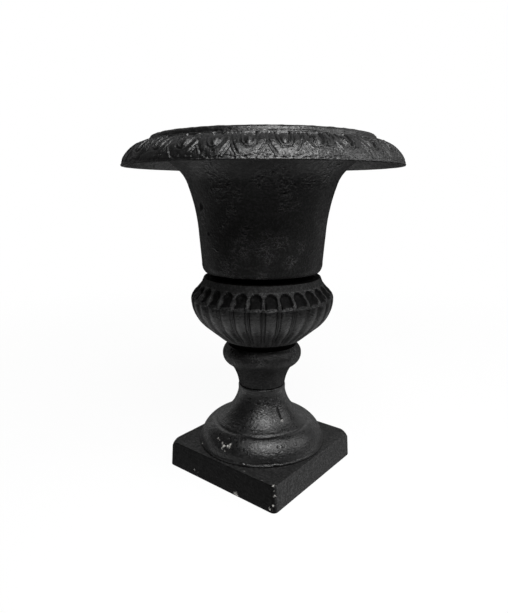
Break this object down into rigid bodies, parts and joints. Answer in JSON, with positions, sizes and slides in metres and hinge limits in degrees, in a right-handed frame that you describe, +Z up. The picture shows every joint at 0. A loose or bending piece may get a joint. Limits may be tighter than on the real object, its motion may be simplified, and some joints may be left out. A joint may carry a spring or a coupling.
{
  "type": "urn planter",
  "caption": "Small cast-iron garden urn: tall bell with a wide carved rim on a fluted bowl, knop, trumpet stem and square plinth, bolted together on its axis.",
  "frame": {"origin": "on the floor, at the middle of the square plinth's underside", "axes": "+Z up along the urn's axis; X and Y along the plinth's sides"},
  "size_m": [0.2134, 0.2134, 0.27],
  "materials": {
    "painted_iron": "satin black paint over a coarse sand-cast surface",
    "plated_steel": "dull zinc plate"
  },
  "bodies": {
    "root": {"pedestal": "painted_iron", "fluted_bowl": "painted_iron", "bell": "painted_iron", "tie_rod": "plated_steel", "bottom_washer": "plated_steel", "bottom_nut": "plated_steel", "top_washer": "plated_steel", "top_nut": "plated_steel"}
  },
  "joints": []
}
